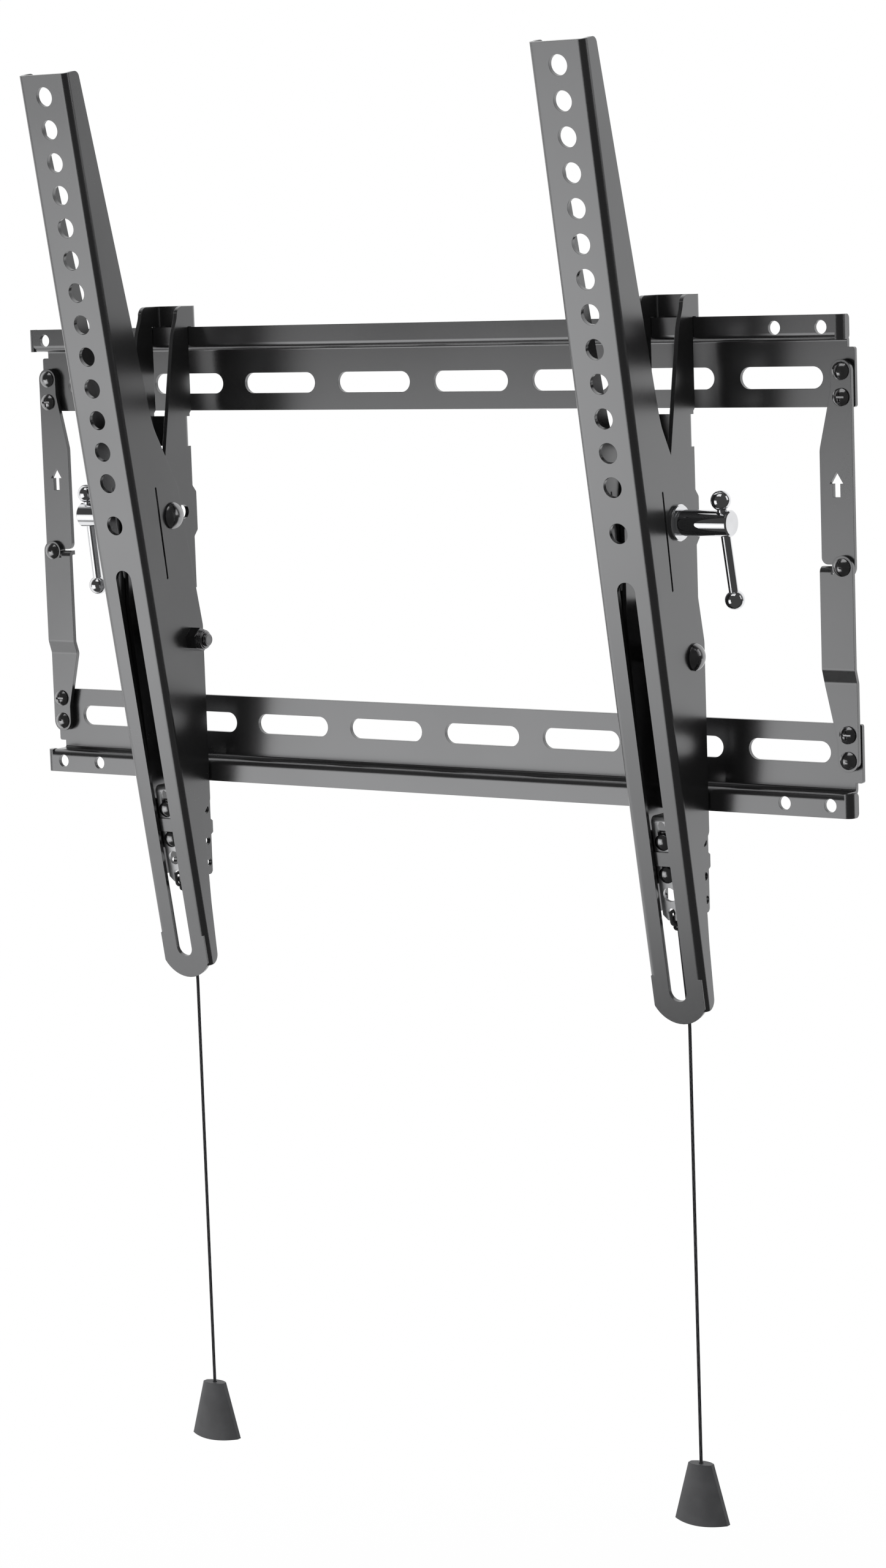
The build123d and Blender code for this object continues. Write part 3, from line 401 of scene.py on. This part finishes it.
def chrome_material(finishes):
    """Polished chrome with the faintest polishing haze."""
    chrome = Finish("polished_chrome", {"Metallic": 1.0})
    haze = chrome.place.noise(scale=120.0, detail=5.0)
    polish = chrome.place.noise(scale=2400.0, detail=2.0)
    shade = haze.between(low=0.3, high=0.7)
    dull = haze.between(low=0.45, high=0.8)
    chrome.feed(Base_Color=shade.tint(finishes.chrome, dark=0.95, light=1.04),
                Roughness=dull.span(low=0.02, high=0.06))
    chrome.relief(polish, depth=0.000002, strength=0.2, edge=finishes.edge_round)
    return chrome.material


def zinc_material(finishes):
    """Bright zinc plating: small spangles and fine rolling lines down the plate."""
    zinc = Finish("bright_zinc", {"Metallic": 1.0})
    spangle = zinc.place.cells(scale=520.0, output="Color").axis("X")
    lines = zinc.place.stretched(2600.0, 240.0, 60.0).noise(scale=1.0, detail=3.0)
    shade = spangle.blend(lines, share=0.5)
    zinc.feed(Base_Color=shade.tint(finishes.zinc, dark=0.9, light=1.1),
              Roughness=spangle.span(low=0.0, high=0.08) + lines.span(low=0.34, high=0.46))
    zinc.relief(lines, depth=0.00001, strength=0.4, edge=finishes.edge_round)
    return zinc.material


def wire_material(finishes):
    """Drawn spring wire with die marks."""
    wire = Finish("spring_wire", {"Metallic": 1.0})
    marks = wire.place.noise(scale=1500.0, detail=3.0)
    wire.feed(Base_Color=marks.tint(finishes.wire, dark=0.8, light=1.25),
              Roughness=marks.span(low=0.2, high=0.4))
    wire.relief(marks, depth=0.00001, strength=0.4)
    return wire.material


def plastic_material(finishes):
    """Moulded handle plastic with a fine spark-eroded grain."""
    plastic = Finish("handle_plastic", {"Specular IOR Level": 0.45})
    grain = plastic.place.cells(scale=2600.0)
    cloud = plastic.place.noise(scale=90.0, detail=3.0)
    shade = cloud.between(low=0.3, high=0.7)
    plastic.feed(Base_Color=shade.tint(finishes.plastic, dark=0.88, light=1.12),
                 Roughness=cloud.span(low=0.0, high=0.1) + grain.span(low=0.4, high=0.52))
    plastic.relief(grain, depth=0.00003, strength=0.4, edge=0.0004)
    return plastic.material


def yarn_material(cords):
    """Round braid: two sets of slanting strands that cross, with fibre fuzz along them."""
    yarn = Finish("braided_yarn", {"Sheen Weight": 0.25, "Sheen Roughness": 0.5})
    surface = yarn.start.node("ShaderNodeTexCoord", output="UV")
    along = surface.axis("X") * (cords.plaits * FULL_TURN)
    around = surface.axis("Y") * (STRANDS * FULL_TURN)
    rising = (along + around).sine()
    falling = (along - around).sine()
    strands = rising.sum("MAXIMUM", falling)
    fibre = yarn.place.noise(scale=5200.0, detail=2.0)
    shade = strands.blend(fibre, share=0.5).between(low=0.0, high=1.0)
    yarn.feed(Base_Color=shade.tint(cords.yarn, dark=0.45, light=1.9),
              Roughness=fibre.span(low=0.72, high=0.87))
    yarn.relief(strands.blend(fibre, share=0.25), depth=0.00016, strength=0.8)
    return yarn.material


class BRACKET_OT_coat_steel(bpy.types.Operator):
    """Coat the rails, links, arms and hangers"""
    bl_idname = "bracket.coat_steel"
    bl_label = "Coat the steel"

    def execute(self, context):
        give(coat_material(context.scene.bracket_finishes), COATED)
        return {"FINISHED"}


class BRACKET_OT_finish_fasteners(bpy.types.Operator):
    """Finish the rivets, screws, bolts and nuts"""
    bl_idname = "bracket.finish_fasteners"
    bl_label = "Finish the fasteners"

    def execute(self, context):
        finishes = context.scene.bracket_finishes
        give(fastener_material(finishes), BLACK_FASTENERS)
        give(pivot_material(finishes), PIVOTS)
        return {"FINISHED"}


class BRACKET_OT_chrome_levers(bpy.types.Operator):
    """Chrome the clamp levers, their bars, balls and washers"""
    bl_idname = "bracket.chrome_levers"
    bl_label = "Chrome the levers"

    def execute(self, context):
        give(chrome_material(context.scene.bracket_finishes), LEVERS)
        return {"FINISHED"}


class BRACKET_OT_plate_latches(bpy.types.Operator):
    """Plate the latches"""
    bl_idname = "bracket.plate_latches"
    bl_label = "Plate the latches"

    def execute(self, context):
        give(zinc_material(context.scene.bracket_finishes), LATCHES)
        return {"FINISHED"}


def coil_path(turns, wire, height):
    """Points on a unit circle with heights: closed end turns and even open ones between."""
    steps = (turns + 2) * COIL_STEPS
    open_turns = turns + 2 - 2 * CLOSED_END
    pitch = (height - wire * (2 + 2 * CLOSED_LIFT)) / open_turns
    path = []
    for step in range(steps + 1):
        opened = min(max(step / COIL_STEPS - CLOSED_END, 0.0), open_turns)
        angle = step / COIL_STEPS * FULL_TURN
        lift = opened * pitch + step / steps * (2 * CLOSED_LIFT + 1) * wire + wire / 2
        path.append(Vector((math.cos(angle), math.sin(angle), lift)))
    return path


def coil_mesh(name, low, high, wire, turns):
    """Round wire coiled between two corners of its box, its end turns closed."""
    radius = (high[0] - low[0] - wire) / 2
    middle = Vector(((low[0] + high[0]) / 2, (low[1] + high[1]) / 2, low[2]))
    path = coil_path(turns, wire, high[2] - low[2])
    vertices, faces = [], []
    for point in path:
        outward = Vector((point.x, point.y, 0))
        centre = outward * radius + Vector((0, 0, point.z))
        for corner in range(WIRE_SIDES):
            angle = corner / WIRE_SIDES * FULL_TURN
            offset = outward * math.cos(angle) + Vector((0, 0, math.sin(angle)))
            vertices.append(middle + centre + offset * wire / 2)
    for start in range(0, (len(path) - 1) * WIRE_SIDES, WIRE_SIDES):
        end = start + WIRE_SIDES
        for corner in range(WIRE_SIDES):
            after = (corner + 1) % WIRE_SIDES
            faces.append((start + corner, end + corner, end + after, start + after))
    faces.append(tuple(range(WIRE_SIDES)))
    faces.append(tuple(reversed(range(len(vertices) - WIRE_SIDES, len(vertices)))))
    mesh = bpy.data.meshes.new(name)
    mesh.from_pydata(vertices, [], faces)
    mesh.shade_smooth()
    return add_object(name, mesh)


class BRACKET_OT_coil_springs(bpy.types.Operator):
    """Coil the latch springs"""
    bl_idname = "bracket.coil_springs"
    bl_label = "Coil the latch springs"

    def execute(self, context):
        wire = wire_material(context.scene.bracket_finishes)
        for side in SIDES:
            low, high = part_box("latch_spring_" + side)
            coil = coil_mesh("coil_spring_" + side, low, high, SPRING_WIRE, SPRING_TURNS)
            coil.data.materials.append(wire)
            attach(coil, "hanger_" + side)
            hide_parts("latch_spring_" + side)
            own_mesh(coil)
        return {"FINISHED"}


def cord_spline(curve, points, cyclic=False):
    """Add one smooth open or closed spline with these control points."""
    spline = curve.splines.new("NURBS")
    spline.points.add(len(points) - 1)
    for point, place in zip(spline.points, points):
        point.co = (*place, 1.0)
    spline.order_u = 3
    spline.use_cyclic_u = cyclic
    spline.use_endpoint_u = not cyclic


def cord_curve(name, diameter, material):
    """Empty round curve object of the cord's diameter."""
    curve = bpy.data.curves.new(name, "CURVE")
    curve.dimensions = "3D"
    curve.bevel_depth = diameter / 2
    curve.bevel_resolution = 5
    curve.resolution_u = 12
    curve.use_fill_caps = True
    curve.materials.append(material)
    return add_object(name, curve)


def knot_wraps(centre, diameter):
    """Closed run of an overhand knot pulled tight round its own middle."""
    reach = KNOT_RADIUS - diameter / 2
    points = []
    for step in range(KNOT_STEPS):
        turn = step / KNOT_STEPS * FULL_TURN
        across = (math.sin(turn) + 2 * math.sin(2 * turn)) / 3
        along = (math.cos(turn) - 2 * math.cos(2 * turn)) / 3
        through = -math.sin(3 * turn) * KNOT_WEAVE
        points.append(centre + Vector((across, through, along)) * reach)
    return points


class BRACKET_OT_make_cords(bpy.types.Operator):
    """Make the braided pull cords with their knots and loops"""
    bl_idname = "bracket.make_cords"
    bl_label = "Make the pull cords"

    def execute(self, context):
        cords = context.scene.bracket_cords
        yarn = yarn_material(cords)
        for side in SIDES:
            low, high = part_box("pull_cord_" + side)
            middle = (low[0] + high[0]) / 2
            route = [(middle, y, z) for y, z in CORD_ROUTE]
            cord = cord_curve("braided_cord_" + side, cords.diameter, yarn)
            cord_spline(cord.data, route)
            low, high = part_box("cord_knot_" + side)
            centre = Vector((middle, high[1] - KNOT_RADIUS, low[2] + KNOT_RADIUS))
            knot = cord_curve("tied_knot_" + side, cords.diameter, yarn)
            tilt = Matrix.Rotation(LATCH_SLOPE, 3, "X")
            loop = [centre + tilt @ Vector((0, depth, height)) for depth, height in LOOP]
            cord_spline(knot.data, loop)
            cord_spline(knot.data, knot_wraps(centre, cords.diameter), cyclic=True)
            body = "latch_" + side
            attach(cord, body)
            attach(knot, body)
            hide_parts("pull_cord_" + side)
            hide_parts("cord_knot_" + side)
        return {"FINISHED"}


class BRACKET_OT_mould_handles(bpy.types.Operator):
    """Give the pull handles their moulded plastic"""
    bl_idname = "bracket.mould_handles"
    bl_label = "Mould the handles"

    def execute(self, context):
        give(plastic_material(context.scene.bracket_finishes), HANDLES)
        return {"FINISHED"}


def panel_light(name, place, size, brightness):
    """Soft panel that faces the bracket, as bright as a white card where brightness is 1."""
    data = bpy.data.lights.new(name, "AREA")
    data.shape = "RECTANGLE"
    data.size, data.size_y = size
    data.energy = brightness * math.pi * data.size * data.size_y
    light = add_object(name, data)
    light.location = place
    light.visible_camera = False
    view = Vector(PANELS_FACE) - Vector(place)
    light.rotation_euler = view.to_track_quat("-Z", "Y").to_euler()


def camera_turn(heading, dip, roll):
    """Matrix of a camera that looks round to the left, down, and rolls, by these angles."""
    ahead = Vector((-math.sin(heading) * math.cos(dip), math.cos(heading) * math.cos(dip),
                    -math.sin(dip)))
    level = Vector((math.cos(heading), math.sin(heading), 0))
    above = level.cross(ahead)
    right = math.cos(roll) * level + math.sin(roll) * above
    up = math.cos(roll) * above - math.sin(roll) * level
    return Matrix((right, up, -ahead)).transposed().to_4x4()


def white_surroundings(start, place, dim_room, heading):
    """Which rays come from the camera, from metal or through glass, and the white they meet.

    Rays from metal meet white on the far side of the bracket and a dim room on the camera's side.
    """
    camera = start.node("ShaderNodeLightPath", output="Is Camera Ray")
    glossy = start.node("ShaderNodeLightPath", output="Is Glossy Ray")
    clear = start.node("ShaderNodeLightPath", output="Is Transmission Ray")
    ahead = place.axis("X") * -math.sin(heading) + place.axis("Y") * math.cos(heading)
    reflected = ahead.between(*BACKDROP_EDGE) * (1 - dim_room) + dim_room
    white = camera.sum("MAXIMUM", clear).sum("MAXIMUM", glossy * reflected)
    return camera, glossy, clear, white


def studio_world(sky, dim_room, heading):
    """White behind the bracket, to the camera and in metal, and a dimmer room in front of it."""
    world = bpy.data.worlds.new("white_studio")
    world.use_nodes = True
    tree = world.node_tree
    background = tree.nodes["Background"]
    start = Field(tree, background.outputs[0])
    direction = start.node("ShaderNodeTexCoord", output="Generated")
    camera, glossy, clear, white = white_surroundings(start, direction, dim_room, heading)
    plain = 1 - camera.sum("MAXIMUM", clear).sum("MAXIMUM", glossy)
    strength = white + plain * sky
    background.inputs["Color"].default_value = WHITE
    tree.links.new(strength.socket, background.inputs["Strength"])
    bpy.context.scene.world = world


def studio_floor(drop, dim_room, heading):
    """Pale floor, white to the camera and in metal but for the bracket's soft shadow."""
    mesh = bpy.data.meshes.new("pale_floor")
    height = CAD_LOW[2] - drop
    mesh.from_pydata([(-FLOOR_HALF, -FLOOR_HALF, height), (FLOOR_HALF, -FLOOR_HALF, height),
                      (FLOOR_HALF, FLOOR_HALF, height), (-FLOOR_HALF, FLOOR_HALF, height)],
                     [], [(0, 1, 2, 3)])
    floor = add_object("pale_floor", mesh)
    paint = Finish("floor_paint", {"Base Color": FLOOR_PAINT, "Roughness": 0.9})
    start = paint.start
    camera, glossy, clear, white = white_surroundings(start, paint.place, dim_room, heading)
    glow = start.node("ShaderNodeEmission", None,
                      {"Color": white.mix(BLACK, WHITE), "Strength": 1.0})
    spread = start.node("ShaderNodeVectorMath", {"operation": "LENGTH"},
                        {0: paint.place.stretched(1, 1, 0)}, "Value")
    seen = camera * (spread.between(*SHADOW_FADE) * SHADOW_SHARE + (1 - SHADOW_SHARE))
    share = seen.sum("MAXIMUM", glossy).sum("MAXIMUM", clear)
    mixed = start.node("ShaderNodeMixShader", None, {0: share, 1: start, 2: glow})
    output = start.tree.nodes["Material Output"]
    start.tree.links.new(mixed.socket, output.inputs["Surface"])
    mesh.materials.append(paint.material)


class BRACKET_OT_set_studio(bpy.types.Operator):
    """Set the camera, the lights, the floor and the white surroundings"""
    bl_idname = "bracket.set_studio"
    bl_label = "Set the studio"

    def execute(self, context):
        studio = context.scene.bracket_studio
        data = bpy.data.cameras.new("photo_camera")
        data.lens = studio.lens
        data.sensor_width = SENSOR_WIDTH
        data.clip_start = NEAREST_SEEN
        camera = add_object("photo_camera", data)
        turn = camera_turn(studio.camera_heading, studio.camera_dip, studio.camera_roll)
        camera.matrix_world = Matrix.Translation(studio.camera_place) @ turn
        context.scene.camera = camera
        for name, place, size, setting in PANELS:
            panel_light(name, place, size, getattr(studio, setting))
        studio_floor(studio.floor_drop, studio.dim_room, studio.camera_heading)
        studio_world(studio.sky, studio.dim_room, studio.camera_heading)
        context.scene.view_settings.view_transform = "Standard"
        return {"FINISHED"}


STEPS = [BRACKET_OT_coat_steel, BRACKET_OT_finish_fasteners, BRACKET_OT_chrome_levers,
         BRACKET_OT_plate_latches, BRACKET_OT_coil_springs, BRACKET_OT_make_cords,
         BRACKET_OT_mould_handles, BRACKET_OT_set_studio]
GROUPS = {"bracket_finishes": BracketFinishes, "bracket_cords": BracketCords,
          "bracket_studio": BracketStudio}


class BRACKET_PT_panel(bpy.types.Panel):
    """Lists the steps that dress the bracket, with their sizes and colours"""
    bl_idname = "BRACKET_PT_panel"
    bl_label = "Wall bracket"
    bl_space_type = "VIEW_3D"
    bl_region_type = "UI"
    bl_category = "Bracket"

    def draw(self, context):
        column = self.layout.column(align=True)
        for step in STEPS:
            column.operator(step.bl_idname)
        for group in GROUPS:
            settings = getattr(context.scene, group)
            box = self.layout.box()
            for name in settings.__annotations__:
                box.prop(settings, name)


CLASSES = [*GROUPS.values(), *STEPS, BRACKET_PT_panel]


def register():
    for item in CLASSES:
        bpy.utils.register_class(item)
    for name, group in GROUPS.items():
        setattr(bpy.types.Scene, name, PointerProperty(type=group))


def unregister():
    for name in GROUPS:
        delattr(bpy.types.Scene, name)
    for item in reversed(CLASSES):
        bpy.utils.unregister_class(item)


def main():
    register()
    bpy.ops.bracket.coat_steel()
    bpy.ops.bracket.finish_fasteners()
    bpy.ops.bracket.chrome_levers()
    bpy.ops.bracket.plate_latches()
    bpy.ops.bracket.coil_springs()
    bpy.ops.bracket.make_cords()
    bpy.ops.bracket.mould_handles()
    bpy.ops.bracket.set_studio()


if __name__ == "__main__":
    main()
